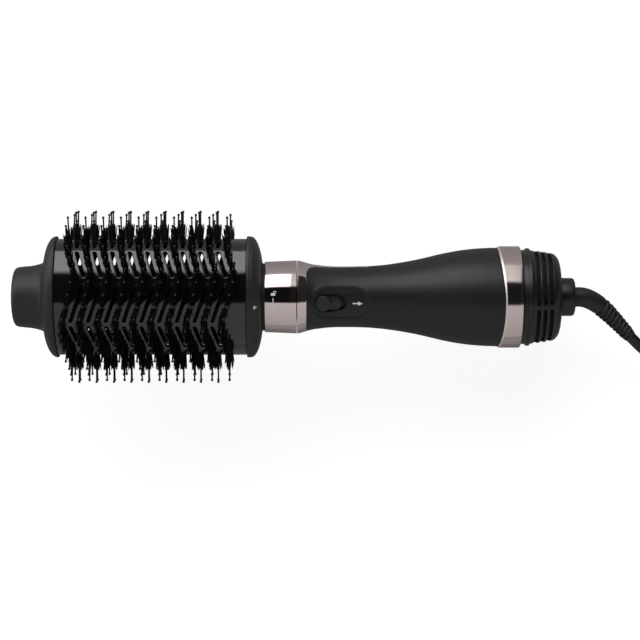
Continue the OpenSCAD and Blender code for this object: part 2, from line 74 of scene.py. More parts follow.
aim = Vector(row([175.8, 0, 0]))
view_way = way([0, math.sin(ROLL), math.cos(ROLL)])
up_way = way([0, math.cos(ROLL), -math.sin(ROLL)])
right_way = up_way.cross(view_way)
camera_data = bpy.data.cameras.new("camera")
camera_data.lens = 118.5
camera_data.shift_x = 0.0156
camera_data.shift_y = -0.036
camera_data.clip_start = 0.05
camera = bpy.data.objects.new("camera", camera_data)
turn = Matrix((right_way, up_way, view_way)).transposed()
camera.matrix_world = Matrix.Translation(aim + view_way * 1.25) @ turn.to_4x4()
bpy.context.collection.objects.link(camera)
bpy.context.scene.camera = camera


# ---------------------------------------------------------------- cord
# 1.8 m of round two-core flex in matt black rubber, 6.6 mm across. It leaves the swivel through
# a ribbed moulded relief, drops to the floor, lies in six turns of two layers and ends in the plug.
def fill(name, verts, faces, sharp=38, smooth=True):
    """A mesh object from an array of row-frame points and a list of arrays of faces."""
    mesh = bpy.data.meshes.new(name)
    sizes = np.concatenate([np.full(len(part), part.shape[1]) for part in faces])
    corners = np.concatenate([part.reshape(-1) for part in faces])
    mesh.vertices.add(len(verts))
    mesh.vertices.foreach_set("co", verts.reshape(-1).astype(np.float32))
    mesh.loops.add(len(corners))
    mesh.loops.foreach_set("vertex_index", corners.astype(np.int32))
    mesh.polygons.add(len(sizes))
    starts = np.concatenate([[0], np.cumsum(sizes)[:-1]])
    mesh.polygons.foreach_set("loop_start", starts.astype(np.int32))
    mesh.update(calc_edges=True)
    mesh.validate()
    mesh.polygons.foreach_set("use_smooth", np.full(len(sizes), smooth))
    if sharp < 180:
        mesh.set_sharp_from_angle(angle=math.radians(sharp))
    made = bpy.data.objects.new(name, mesh)
    bpy.context.collection.objects.link(made)
    return made


def quads(rings, sides, wrap_rings=False):
    """Faces between consecutive rings of points, each ring closed on itself."""
    k, i = np.meshgrid(np.arange(rings if wrap_rings else rings - 1), np.arange(sides), indexing="ij")
    k2 = (k + 1) % rings
    i2 = (i + 1) % sides
    return np.stack([k * sides + i, k2 * sides + i, k2 * sides + i2, k * sides + i2], -1).reshape(-1, 4)


def loft(name, rings, loop=False, metres=False, sharp=38):
    """Closed surface through rings of tool-frame points. A plain loft is closed at each end by a fan
    of triangles to the ring's mean point; a loop joins its last ring to its first instead."""
    rings = np.asarray(rings, float)
    count, sides = rings.shape[:2]
    verts = rings.reshape(-1, 3)
    faces = [quads(count, sides, loop)]
    if not loop:
        verts = np.concatenate([verts, [rings[0].mean(0), rings[-1].mean(0)]])
        i = np.arange(sides)
        j = (i + 1) % sides
        first = np.full(sides, len(verts) - 2)
        last = first + 1
        end = (count - 1) * sides
        faces.append(np.stack([first, i, j], -1))
        faces.append(np.stack([last, end + j, end + i], -1))
    return fill(name, verts if metres else row(verts), faces, sharp)


def smooth_path(points, steps):
    """Catmull-Rom curve through points: each span is the cubic whose end slopes are half the
    distance between the neighbours, sampled at equal steps of its parameter."""
    p = np.asarray(points, float)
    p = np.concatenate([[2 * p[0] - p[1]], p, [2 * p[-1] - p[-2]]])
    t = (np.arange(steps) / steps)[None, :, None]
    a, b, c, d = (p[k:len(p) - 3 + k, None] for k in range(4))
    curve = 0.5 * (2 * b + (c - a) * t + (2 * a - 5 * b + 4 * c - d) * t ** 2
                   + (3 * b - a - 3 * c + d) * t ** 3)
    return np.concatenate([curve.reshape(-1, p.shape[1]), p[-2:-1]])


def tube_rings(path, radii, sides):
    """Round sections square to a path, with the section's first axis kept level."""
    ahead = np.gradient(path, axis=0)
    ahead /= np.linalg.norm(ahead, axis=1, keepdims=True)
    level = np.cross([0.0, 0.0, 1.0], ahead)
    level /= np.linalg.norm(level, axis=1, keepdims=True)
    up = np.cross(level, ahead)
    a = np.linspace(0, 2 * np.pi, sides, endpoint=False)[None, :, None]
    around = level[:, None] * np.cos(a) + up[:, None] * np.sin(a)
    return path[:, None] + around * np.asarray(radii, float)[:, None, None]


def ease(t):
    """Smooth step from 0 to 1."""
    t = np.clip(t, 0, 1)
    return t * t * (3 - 2 * t)


relief_route = [[165.8, 0, 27.5], [171, -0.2, 27], [176.5, -2.3, 26.3], [182, -6.2, 25.2],
                [188, -12, 23.4], [194, -18.6, 21], [200, -25.5, 18]]
lead_route = [[200, -25.5, 18], [208, -34, 13.5], [217, -42, 9], [228, -48.2, 5.6], [240, -51.3, 4],
              [253, -51.4, 3.5], [264, -50, 3.4], [271, -49.2, 3.4]]
plug_route = [[271, -49.2, 9.9], [286, -48.8, 10], [300, -46.4, 10.6], [314, -43, 11.6],
              [326, -40.4, 12], [332, -40, 12]]
turns = np.linspace(0, 6, 6 * 36 + 1)[1:-1]
step_in = ease((turns % 1 - 0.8) / 0.2)
lap = np.floor(turns % 3) + step_in * (np.floor(turns % 3) < 2)
coil_r = np.where(turns < 3, 49.2 - 6.6 * lap, 36 + 6.6 * lap)
coil_z = 3.4 + 6.5 * (ease((turns - 2.8) / 0.2))
angle = -np.pi / 2 + 2 * np.pi * turns
coil = np.stack([271 + coil_r * np.cos(angle), coil_r * np.sin(angle), coil_z], -1)
route = np.concatenate([smooth_path(relief_route, 4)[:-1], smooth_path(lead_route, 4), coil,
                        smooth_path(plug_route, 4)]) / 1000

flex = bpy.data.curves.new("cord", "CURVE")
flex.dimensions = "3D"
CORD_R = 0.0033
flex.bevel_depth = 1.0
flex.bevel_resolution = 5
flex.use_fill_caps = True
line = flex.splines.new("POLY")
line.points.add(len(route) - 1)
line.points.foreach_set("co", np.c_[route, np.ones(len(route))].reshape(-1))
line.points.foreach_set("radius", np.full(len(route), CORD_R))
cord = bpy.data.objects.new("cord", flex)
bpy.context.collection.objects.link(cord)
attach(cord, "cord")
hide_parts("cord_lead", "cord_coil", "plug_lead")


def node_group(name, inputs, outputs):
    """An empty shader group with number, colour ("c") or vector ("v") sockets."""
    kinds = {"c": "NodeSocketColor", "v": "NodeSocketVector", "f": "NodeSocketFloat"}
    tree = bpy.data.node_groups.new(name, "ShaderNodeTree")
    for label, kind in inputs:
        tree.interface.new_socket(label, in_out="INPUT", socket_type=kinds[kind])
    for label, kind in outputs:
        tree.interface.new_socket(label, in_out="OUTPUT", socket_type=kinds[kind])
    return tree, tree.nodes.new("NodeGroupInput"), tree.nodes.new("NodeGroupOutput")


def math_node(tree, operation, first, second, third=None):
    """A math node whose inputs are numbers or sockets; returns its output."""
    node = tree.nodes.new("ShaderNodeMath")
    node.operation = operation
    for slot, value in enumerate((first, second, third)):
        if isinstance(value, (int, float)):
            node.inputs[slot].default_value = value
        elif value is not None:
            tree.links.new(value, node.inputs[slot])
    return node.outputs[0]


def noise(tree, vector, scale, detail=2.0, rough=0.5):
    """A noise texture's value; scale is in features per metre, as a number or a socket."""
    node = tree.nodes.new("ShaderNodeTexNoise")
    node.inputs["Detail"].default_value = detail
    node.inputs["Roughness"].default_value = rough
    tree.links.new(vector, node.inputs["Vector"])
    if isinstance(scale, (int, float)):
        node.inputs["Scale"].default_value = scale
    else:
        tree.links.new(scale, node.inputs["Scale"])
    return node.outputs[0]


# Spark-eroded mould grain: rounded cells with finer noise over them
grain_group, g_in, g_out = node_group("mould_grain", [("Vector", "v"), ("Scale", "f")],
                                      [("Height", "f")])
cells = grain_group.nodes.new("ShaderNodeTexVoronoi")
cells.feature = "SMOOTH_F1"
grain_group.links.new(g_in.outputs["Vector"], cells.inputs["Vector"])
grain_group.links.new(g_in.outputs["Scale"], cells.inputs["Scale"])
finer = math_node(grain_group, "MULTIPLY", g_in.outputs["Scale"], 2.3)
fine = noise(grain_group, g_in.outputs["Vector"], finer)
grain_group.links.new(math_node(grain_group, "MULTIPLY_ADD", cells.outputs["Distance"], 0.8, fine),
                      g_out.inputs["Height"])

# Slow change of tone over a surface, with the smears and dust of handling
tone_group, g_in, g_out = node_group("handled_tone", [("Vector", "v"), ("Color", "c"), ("Drift", "f")],
                                     [("Color", "c"), ("Smudge", "f")])
slow = noise(tone_group, g_in.outputs["Vector"], 42.0, 3.0)
smear = noise(tone_group, g_in.outputs["Vector"], 130.0, 5.0, 0.62)
speck = noise(tone_group, g_in.outputs["Vector"], 1900.0, 2.0)
swing = math_node(tone_group, "ADD", math_node(tone_group, "SUBTRACT", slow, 0.5),
                  math_node(tone_group, "MULTIPLY", math_node(tone_group, "SUBTRACT", speck, 0.5), 0.5))
value = math_node(tone_group, "MULTIPLY_ADD", swing, g_in.outputs["Drift"], 1.0)
shade = tone_group.nodes.new("ShaderNodeHueSaturation")
tone_group.links.new(g_in.outputs["Color"], shade.inputs["Color"])
tone_group.links.new(value, shade.inputs["Value"])
tone_group.links.new(shade.outputs["Color"], g_out.inputs["Color"])
tone_group.links.new(smear, g_out.inputs["Smudge"])

# Fine lines round the tool left by turning, drawing or wiping
line_group, g_in, g_out = node_group("fine_lines", [("Vector", "v"), ("Scale", "f")], [("Height", "f")])
stretch = line_group.nodes.new("ShaderNodeVectorMath")
stretch.operation = "MULTIPLY"
stretch.inputs[1].default_value = (1.0, 0.06, 0.06)
line_group.links.new(g_in.outputs["Vector"], stretch.inputs[0])
drawn = noise(line_group, stretch.outputs[0], g_in.outputs["Scale"], 4.0, 0.7)
line_group.links.new(drawn, g_out.inputs["Height"])


def finish(name, color, rough, metal=0.0, coat=0.0, grain=900.0, depth=0.02, drift=0.25, smudge=0.1,
           lines=0.0, shine=0.5):
    """A moulded, coated or metal finish: colour that drifts, roughness with smears, and a bump of
    mould grain or, where lines is set, of fine turned lines. depth is the bump in millimetres."""
    made = bpy.data.materials.new(name)
    made.use_nodes = True
    tree = made.node_tree
    shader = tree.nodes["Principled BSDF"]
    place = tree.nodes.new("ShaderNodeTexCoord").outputs["Object"]
    tone = tree.nodes.new("ShaderNodeGroup")
    tone.node_tree = tone_group
    tone.inputs["Color"].default_value = (*color, 1)
    tone.inputs["Drift"].default_value = drift
    tree.links.new(place, tone.inputs["Vector"])
    tree.links.new(tone.outputs["Color"], shader.inputs["Base Color"])
    change = math_node(tree, "SUBTRACT", tone.outputs["Smudge"], 0.5)
    tree.links.new(math_node(tree, "MULTIPLY_ADD", change, smudge, rough), shader.inputs["Roughness"])
    relief = tree.nodes.new("ShaderNodeGroup")
    relief.node_tree = line_group if lines else grain_group
    relief.inputs["Scale"].default_value = lines or grain
    tree.links.new(place, relief.inputs["Vector"])
    bump = tree.nodes.new("ShaderNodeBump")
    bump.inputs["Strength"].default_value = 1.0
    bump.inputs["Distance"].default_value = depth / 1000
    tree.links.new(relief.outputs["Height"], bump.inputs["Height"])
    tree.links.new(bump.outputs["Normal"], shader.inputs["Normal"])
    shader.inputs["Metallic"].default_value = metal
    shader.inputs["Coat Weight"].default_value = coat
    shader.inputs["Coat Roughness"].default_value = 0.04
    shader.inputs["Specular IOR Level"].default_value = shine
    return made


def dress(piece, material, body=None, nodes=()):
    """Gives a piece its material and, for a piece that isn't a CAD node, its body; hides the given CAD
    nodes.
    """
    piece.data.materials.clear()
    piece.data.materials.append(material)
    if body:
        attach(piece, body)
    if nodes:
        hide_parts(*nodes)
    return piece


cord_rubber = finish("cord_rubber", (0.01, 0.01, 0.0105), 0.5, grain=2600, depth=0.012, smudge=0.16)
cord.data.materials.append(cord_rubber)

# Strain relief: a tapered boot, plain at the swivel and cut into rings towards its thin end
relief_path = smooth_path(relief_route, 16)
along = np.r_[0, np.cumsum(np.linalg.norm(np.diff(relief_path, axis=0), axis=1))]
relief_r = np.interp(along, np.linspace(0, along[-1], 7), [6, 6, 5.8, 5.3, 4.8, 4.4, 3.9])
ribbed = ease((along - 16) / 2.5) * ease((along[-1] - 1 - along) / 1.5)
relief_r = relief_r * 0.97 + ribbed * 0.38 * np.sign(np.sin(2 * np.pi * along / 3.1))
relief = dress(loft("strain_relief_boot", tube_rings(relief_path, relief_r, 32) / 1000, metres=True),
               cord_rubber, "cord", ["strain_relief"])

# Plug: a moulded safety plug with a test and a reset button and two flat blades
section = np.linspace(0, 2 * np.pi, 48, endpoint=False)


def pillow(x, half_y, half_z, power):
    """Superellipse section across the plug: |y/a|^n + |z/b|^n = 1."""
    c = np.cos(section)
    s = np.sin(section)
    y = half_y * np.sign(c) * np.abs(c) ** (2 / power)
    z = half_z * np.sign(s) * np.abs(s) ** (2 / power)
    return np.stack([np.full(48, x), -40 + y, 12.1 + z], -1)


plug_rings = [pillow(332, 4.4, 4.4, 2), pillow(333, 4.8, 4.8, 2), pillow(339, 5.4, 5.2, 2),
              pillow(340.5, 9, 7, 2.4), pillow(342.5, 14, 9.6, 3.4), pillow(345, 15.7, 11.3, 4.2),
              pillow(350, 16, 12, 4.6), pillow(371, 16, 12, 4.6), pillow(374.5, 15.6, 11.6, 4.6),
              pillow(375.7, 14.8, 10.8, 4.4), pillow(376, 13.8, 9.8, 4.2)]
plug_rings = [ring[::-1] for ring in plug_rings]
plug_plastic = finish("plug_plastic", (0.025, 0.025, 0.027), 0.42, grain=1500, depth=0.02)
plug = dress(loft("plug_case", np.array(plug_rings) / 1000, metres=True), plug_plastic, "cord",
             ["plug_body"])
reset_plastic = finish("reset_plastic", (0.3, 0.02, 0.02), 0.4, grain=1500)
blade_metal = finish("blade_metal", (0.72, 0.68, 0.6), 0.25, metal=1.0, lines=2600, depth=0.006)
dress(frame["nodes"]["test_button"], plug_plastic)
dress(frame["nodes"]["reset_button"], reset_plastic)
dress(frame["nodes"]["plug_blades"], blade_metal)


# ---------------------------------------------------------------- floor, light and world
# A pale floor, lifted to white for the camera alone, one broad soft lamp above the bristles, and
# surroundings in bands: a soft box that dims from nose to tail, a dark gap and pale walls.
floor_mesh = bpy.data.meshes.new("floor")
floor_mesh.from_pydata([(-4, -4, 0), (4, -4, 0), (4, 4, 0), (-4, 4, 0)], [], [(0, 1, 2, 3)])
floor = bpy.data.objects.new("floor", floor_mesh)
bpy.context.collection.objects.link(floor)
floor.location.z = -0.0004
paper = bpy.data.materials.new("floor_paper")
paper.use_nodes = True
tree = paper.node_tree
shader = tree.nodes["Principled BSDF"]
shader.inputs["Roughness"].default_value = 0.9
shader.inputs["Specular IOR Level"].default_value = 0.1
ray = tree.nodes.new("ShaderNodeLightPath").outputs["Is Camera Ray"]
tree.links.new(math_node(tree, "MULTIPLY_ADD", ray, 0.78, 0.05), shader.inputs["Emission Strength"])
shader.inputs["Emission Color"].default_value = (1, 1, 1, 1)
wash = noise(tree, tree.nodes.new("ShaderNodeTexCoord").outputs["Object"], 3.0)
tint = tree.nodes.new("ShaderNodeMix")
tint.data_type = "RGBA"
tint.inputs["A"].default_value = (0.42, 0.41, 0.41, 1)
tint.inputs["B"].default_value = (0.46, 0.45, 0.45, 1)
tree.links.new(wash, tint.inputs["Factor"])
tree.links.new(tint.outputs["Result"], shader.inputs["Base Color"])
floor.data.materials.append(paper)

world = bpy.data.worlds.new("studio")
bpy.context.scene.world = world
world.use_nodes = True
tree = world.node_tree
direction = tree.nodes.new("ShaderNodeTexCoord").outputs["Generated"]


def along_way(vector):
    """How far the direction being looked at points along a fixed one."""
    node = tree.nodes.new("ShaderNodeVectorMath")
    node.operation = "DOT_PRODUCT"
    node.inputs[1].default_value = vector
    tree.links.new(direction, node.inputs[0])
    return node.outputs["Value"]


height = math_node(tree, "ARCTAN2", along_way(up_way), along_way(view_way))
band = math_node(tree, "MULTIPLY_ADD", height, 1 / (2 * math.pi), 0.5)
aside = along_way(right_way)
surround = None
for box, dark, near, far in ((3.0, 0.006, 0, 0), (0.72, 0.012, 0.04, 0.075), (0.03, 0.02, 0.28, 0.42)):
    node = tree.nodes.new("ShaderNodeValToRGB")
    tree.links.new(band, node.inputs["Fac"])
    if surround is None:
        surround = node.outputs["Color"]
    else:
        fade = tree.nodes.new("ShaderNodeMapRange")
        fade.interpolation_type = "SMOOTHSTEP"
        fade.inputs["From Min"].default_value = near
        fade.inputs["From Max"].default_value = far
        tree.links.new(aside, fade.inputs["Value"])
        lit = tree.nodes.new("ShaderNodeMix")
        lit.data_type = "RGBA"
        tree.links.new(fade.outputs["Result"], lit.inputs["Factor"])
        tree.links.new(surround, lit.inputs["A"])
        tree.links.new(node.outputs["Color"], lit.inputs["B"])
        surround = lit.outputs["Result"]
    stops = [(-180, 0.5), (-100, 0.42), (-60, 0.5), (-21, 0.56), (-17, dark), (31, dark), (38, box),
             (80, box * 0.87), (88, 0.5), (180, 0.5)]
    while len(node.color_ramp.elements) < len(stops):
        node.color_ramp.elements.new(0.5)
    for element, (degrees, level) in zip(node.color_ramp.elements, stops):
        element.position = degrees / 360 + 0.5
        element.color = (level / 3, level / 3 * 0.985, level / 3 * 0.98, 1)
back = tree.nodes["Background"]
tree.links.new(surround, back.inputs["Color"])
back.inputs["Strength"].default_value = 3.0
seen = tree.nodes.new("ShaderNodeBackground")
seen.inputs["Color"].default_value = (0.9, 0.9, 0.9, 1)
pick = tree.nodes.new("ShaderNodeMixShader")
tree.links.new(tree.nodes.new("ShaderNodeLightPath").outputs["Is Camera Ray"], pick.inputs[0])
tree.links.new(back.outputs[0], pick.inputs[1])
tree.links.new(seen.outputs[0], pick.inputs[2])
tree.links.new(pick.outputs[0], tree.nodes["World Output"].inputs["Surface"])

lamp_data = bpy.data.lights.new("soft_lamp", "AREA")
lamp_data.shape = "RECTANGLE"
lamp_data.size = 1.6
lamp_data.size_y = 0.7
lamp_data.energy = 9.0
lamp = bpy.data.objects.new("soft_lamp", lamp_data)
lamp.visible_glossy = False
toward = (view_way * 0.62 + up_way * 0.78).normalized()
lamp.location = aim + toward * 1.6
lamp.rotation_mode = "QUATERNION"
lamp.rotation_quaternion = toward.to_track_quat("Z", "Y")
bpy.context.collection.objects.link(lamp)
bpy.context.scene.view_settings.view_transform = "Standard"


# ---------------------------------------------------------------- cool tip
# The soft-touch nose that the other hand may hold while styling: one moulding, a round grip that
# flares into an oval flange, pushed into the barrel's open end.
END_R = 20.0
END_Y = 14.8
FACE_R = 39.5059
FACE_Z = 12.706
JOIN = math.atan2(END_Y, FACE_Z)
FACE_S = FACE_R * JOIN
QUARTER = FACE_S + END_R * (math.pi / 2 - JOIN)
SIDES = 128
round_a = np.linspace(0, 2 * np.pi, SIDES, endpoint=False)


def polar(x, r, a):
    """Tool-frame point (x, r sin a, r cos a), with the angle a counted from +Z towards +Y."""
    return np.stack([x, r * np.sin(a), r * np.cos(a)], -1)


def disc(x, r):
    """Ring of a given radius square to the tool."""
    return polar(np.full(SIDES, x), r, round_a)


def oval_at(a, grow):
    """Point (y, z) of the flat oval whose normal stands at angle a from +Z: round ends of radius 20
    and shallow faces of radius 39.5, both grown by the same margin."""
    y_end = np.sign(np.sin(a)) * END_Y + (END_R + grow) * np.sin(a)
    z_end = (END_R + grow) * np.cos(a)
    y_face = (FACE_R + grow) * np.sin(a)
    z_face = (FACE_R + grow) * np.cos(a) - np.sign(np.cos(a)) * FACE_Z
    ends = np.abs(np.sin(a)) > math.sin(JOIN)
    return np.where(ends, y_end, y_face), np.where(ends, z_end, z_face)


def between(x, r, share, grow):
    """Ring part of the way from a circle to the oval: each point moves straight between the points
    with the same normal angle."""
    y, z = oval_at(round_a, grow)
    cy = r * np.sin(round_a)
    cz = r * np.cos(round_a)
    return np.stack([np.full(SIDES, x), cy + (y - cy) * share, cz + (z - cz) * share], -1)


nose = [disc(0.0, 2.0), disc(0.05, 10.0), disc(0.15, 13.4), disc(0.55, 15.3), disc(1.15, 16.5),
        disc(2.0, 17.3), disc(3.2, 17.75), disc(5.5, 18.0), disc(10, 18.4), disc(13, 18.9),
        disc(15.5, 19.55), disc(17, 20.1), disc(18.1, 20.7)]
flare = [(18.55, .055), (18.85, .13), (19.05, .21), (19.25, .3), (19.5, .39), (19.85, .49),
         (20.3, .59), (20.9, .69), (21.6, .78), (22.4, .86), (23.2, .92), (24.1, .965), (25.1, .995)]
nose += [between(x, 20.7, share, 1.5) for x, share in flare]
nose += [between(25.35, 20, 1, 1.5), between(26.25, 20, 1, 1.5), between(26.45, 20, 1, 1.35),
         between(26.5, 20, 1, 1.0), between(26.5, 20, 1, -1.95), between(31, 20, 1, -1.95),
         disc(31, 17.6), disc(26.8, 17.5), disc(26.6, 14.5), disc(3.2, 14.4), disc(3.0, 13.8), disc(3.0, 2)]
soft_black_cap = finish("soft_black_cap", (0.019, 0.019, 0.0205), 0.5, grain=2400, depth=0.012,
                        drift=0.2, smudge=0.14, shine=0.42)
dress(loft("cool_tip_moulding", nose), soft_black_cap, "brush_head", ["cool_tip"])


# ---------------------------------------------------------------- barrel
# A moulded sleeve in gloss black with nine rows of air slots in a zigzag, ten slots round. Each
# slot's edge is rounded over, and a metal tube lies inside, coloured near-black as painted shade
# for the slots' dark insides. Held between the end mouldings.
PITCH = 10.33
FIRST = 34.9
SHIFT = 2.6
wave_s = np.array([-33, -13.5, 13.5, 33, 2 * QUARTER - 33])
wave_x = np.array([1.0, -4.5, 4.5, -1.0, 1.0])


def drift(s):
    """How far the pattern drifts along the barrel at a distance s round it: a zigzag, the same on
    both sides, rounded by taking the mean over a few millimetres."""
    spread = np.array([-1.8, 0.0, 1.8])
    near = (np.asarray(s, float)[..., None] + spread + 33) % (2 * QUARTER) - 33
    return np.interp(near, wave_s, wave_x).mean(-1)


def normal_at(s):
    """Angle of the oval's outward normal from +Z at a distance s round it, from each arc's radius."""
    lap = np.round(s / (2 * QUARTER))
    rest = s - lap * 2 * QUARTER
    far = np.abs(rest)
    a = np.where(far < FACE_S, far / FACE_R, JOIN + (far - FACE_S) / END_R)
    return lap * np.pi + np.sign(rest) * a


def on_oval(x, s, h):
    """Tool-frame point at a station, a distance round the oval and a height over its surface."""
    a = normal_at(s + SHIFT)
    y, z = oval_at(a, 0)
    return np.stack([x, y + h * np.sin(a), z + h * np.cos(a)], -1)


def obround(half_w, half_l, across, along_n):
    """Closed outline of a slot along v, counter-clockwise from its lower left: two round ends of
    across segments each and two straight sides of along_n segments each."""
    arc = np.linspace(0, np.pi, across + 1)[:-1]
    side = np.linspace(-1, 1, along_n + 1)[:-1] * (half_l - half_w)
    low = np.stack([-half_w * np.cos(arc), -(half_l - half_w) - half_w * np.sin(arc)], -1)
    up = np.stack([np.full(along_n, half_w), side], -1)
    return np.concatenate([low, up, -low, -up])


def frame_box(u0, u1, v0, v1, across, along_n):
    """Outline of a rectangle with the same count of points on each side as an obround."""
    u = np.linspace(u0, u1, across + 1)[:-1]
    v = np.linspace(v0, v1, along_n + 1)[:-1]
    return np.concatenate([np.stack([u, np.full(across, v0)], -1),
                           np.stack([np.full(along_n, u1), v], -1),
                           np.stack([u1 + u0 - u, np.full(across, v1)], -1),
                           np.stack([np.full(along_n, u0), v1 + v0 - v], -1)])


def punched(outlines, heights, place):
    """Rings of one slotted cell, from its outer border over the slot's lip, down its wall and back
    out under the skin. place carries (u, v, h) to tool-frame points."""
    flat = np.array(outlines)
    h = np.array(heights)[:, None] + np.zeros(flat.shape[1])
    return place(flat[..., 0], flat[..., 1], h)


def weld(piece):
    """Joins points that coincide and turns the faces outwards."""
    work = bmesh.new()
    work.from_mesh(piece.data)
    bmesh.ops.remove_doubles(work, verts=work.verts, dist=2e-6)
    bmesh.ops.recalc_face_normals(work, faces=work.faces)
    work.to_mesh(piece.data)
    work.free()
    piece.data.set_sharp_from_angle(angle=math.radians(38))
    return piece


def strip(count, sides):
    """Faces of an open grid of points."""
    k, i = np.meshgrid(np.arange(count - 1), np.arange(sides - 1), indexing="ij")
    at = k * sides + i
    return np.stack([at, at + sides, at + sides + 1, at + 1], -1).reshape(-1, 4)


def sleeve(name, cells, borders):
    """One welded skin from slotted cells, each an array of rings, and open grids beside them."""
    verts = []
    faces = []
    base = 0
    for rings, open_grid in [(c, False) for c in cells] + [(b, True) for b in borders]:
        count, sides = rings.shape[:2]
        verts.append(rings.reshape(-1, 3))
        faces.append((strip(count, sides) if open_grid else quads(count, sides)) + base)
        base += count * sides
    return weld(fill(name, row(np.concatenate(verts)), [np.concatenate(faces)]))


WALL = 1.8
half = PITCH / 2
EDGE = 5.1
sectors = [(-13.5, 13.5, 12), (13.5, 33, 9), (33, QUARTER - EDGE, 5), (QUARTER - EDGE, QUARTER + EDGE, 6),
           (QUARTER + EDGE, 2 * QUARTER - 33, 5), (2 * QUARTER - 33, 2 * QUARTER - 13.5, 9)]
cells = []
borders = []
for lap in range(2):
    for s0, s1, count in sectors:
        s0 += lap * 2 * QUARTER
        s1 += lap * 2 * QUARTER
        middle = (s0 + s1) / 2
        length = (s1 - s0) / 2 - 1.35
        slot = [obround(1.0 + out, length + out, 8, count) + [0, middle] for out in (0.0, 0.07, 0.22, 0.5)]
        edge = frame_box(-half, half, s0, s1, 8, count)
        outlines = [edge, edge * 0.45 + slot[3] * 0.55, slot[3], slot[2], slot[1], slot[0], slot[0], edge]
        heights = [0, 0, 0, -0.06, -0.24, -0.55, -WALL, -WALL]
        v = np.linspace(s0, s1, count + 1)
        for k in range(9):
            station = FIRST + (k + 0.5) * PITCH
            if count == 6:
                u = np.linspace(-half, half, 9)[:, None] + station
                borders += [on_oval(u + drift(v), v + u * 0, u * 0 + v * 0 + h) for h in (0, -WALL)]
            else:
                cells.append(punched(outlines, heights,
                                     lambda u, v, h: on_oval(station + u + drift(v), v, h)))
        for x_end, x_cell in ((26.6, FIRST), (138.4, FIRST + 9 * PITCH)):
            x = x_cell + drift(v)
            inward = np.sign(x_cell - x_end)
            borders.append(np.stack([on_oval(x, v, np.zeros_like(v)),
                                     on_oval(x * 0 + x_end + inward * 0.25, v, v * 0),
                                     on_oval(x * 0 + x_end, v, v * 0 - 0.25),
                                     on_oval(x * 0 + x_end, v, v * 0 - WALL),
                                     on_oval(x, v, v * 0 - WALL)]))
gloss_barrel = finish("gloss_barrel", (0.0055, 0.0055, 0.006), 0.1, coat=0.7, grain=260, depth=0.0015,
                      drift=0.2, smudge=0.09)
dress(sleeve("barrel_sleeve", cells, borders), gloss_barrel, "brush_head", ["barrel"])

# Metal far darker than bare aluminium: the tube's near-black colour is painted shade for the insides of the
# slots.
aluminium = finish("aluminium", (0.03, 0.029, 0.028), 0.5, metal=1.0, lines=2200, depth=0.01)
dress(frame["nodes"]["diffuser_tube"], aluminium)


# ---------------------------------------------------------------- barrel collar
# The satin charcoal moulding that closes the barrel's rear end, domed down to the neck. It turns
# with the head, and a small printed pointer shows its place against the marks on the neck ring.
DOME_X = 141
DOME_DEPTH = 7.15


def dome_share(a):
    """Share of the way from the circle of radius 21.2 to the oval at an angle up the dome, whose
    reach across the tool is 10.9 + 25.4 cos a."""
    return (10.9 + 25.4 * np.cos(a) - 21.2) / 15.1


collar = [between(134, 20, 1, -1.95), between(138.45, 20, 1, -1.95), between(138.5, 20, 1, 1.1),
          between(138.6, 20, 1, 1.4), between(138.85, 20, 1, 1.5), between(140.7, 20, 1, 1.5),
          between(141.0, 20, 1, 1.32)]
for a in np.linspace(0.06, 1.16, 15):
    collar.append(between(DOME_X + DOME_DEPTH * math.sin(a), 21.2, dome_share(a), 1.4))
collar += [disc(147.65, 20.6), disc(147.7, 19.8), disc(147.7, 14.6), disc(147.4, 14.2), disc(134, 14.2)]
charcoal_plastic = finish("charcoal_plastic", (0.018, 0.018, 0.0195), 0.46, grain=1500, depth=0.016,
                          drift=0.18, smudge=0.12)
dress(loft("barrel_collar_moulding", collar, loop=True), charcoal_plastic, "brush_head",
      ["barrel_collar"])
ink = finish("printing_ink", (0.8, 0.8, 0.78), 0.55, grain=4000, depth=0.004, drift=0.3)


def ribbon(name, path, widths, place, thick=0.05):
    """A thin printed stroke: at each point of a flat path (u, v) a section runs the stroke's width
    across it and stands thick millimetres proud, carried to the surface by place(u, v, h)."""
    path = np.asarray(path, float)
    ahead = np.gradient(path, axis=0)
    ahead /= np.linalg.norm(ahead, axis=1, keepdims=True)
    out = np.stack([-ahead[:, 1], ahead[:, 0]], -1) * np.broadcast_to(widths, len(path))[:, None] / 2
    left = path + out
    right = path - out
    uv = np.stack([left, right, right, left], 1)
    h = np.array([thick, thick, -0.08, -0.08]) + np.zeros((len(path), 1))
    return weld(loft(name, place(uv[..., 0], uv[..., 1], h), sharp=30))


def on_dome(x, s, h):
    """Point on the collar's dome above the flat face: the profile's height there plus h."""
    a = np.arcsin(np.clip((x - DOME_X) / DOME_DEPTH, 0, 0.92))
    z = 21.2 + (28.2 - 21.2) * dome_share(a)
    return np.stack([x, s, z + h], -1)


dress(ribbon("pointer_print", [[142.9, 0], [143.6, 0], [144.3, 0], [145, 0]], [2.3, 1.55, 0.8, 0.08],
             on_dome, 0.12), ink, "brush_head")


# ---------------------------------------------------------------- bristles
# 376 units in ten columns, with more between them at the two edges, each a tuft of stiff nylon
# round a longer pin with a ball end. Both are set in the wall and drift along it with the slots.
face = [0, -5.2, 5.2, -10.4, 10.4]
face += [side * s for s in (15.8, 20.8, 25.8, 30.8) for side in (-1, 1)]
ends = [QUARTER + k * EDGE for k in (-2.5, -1.5, 1.5, 2.5)]
edges = [QUARTER + k * EDGE + lap for lap in (0, 2 * QUARTER) for k in (-0.5, 0.5)]
EDGE_COLUMNS = np.arange(9) + 0.35
places = {"top": face, "bottom": [s + 2 * QUARTER for s in face],
          "sides": ends + [s + 2 * QUARTER for s in ends]}


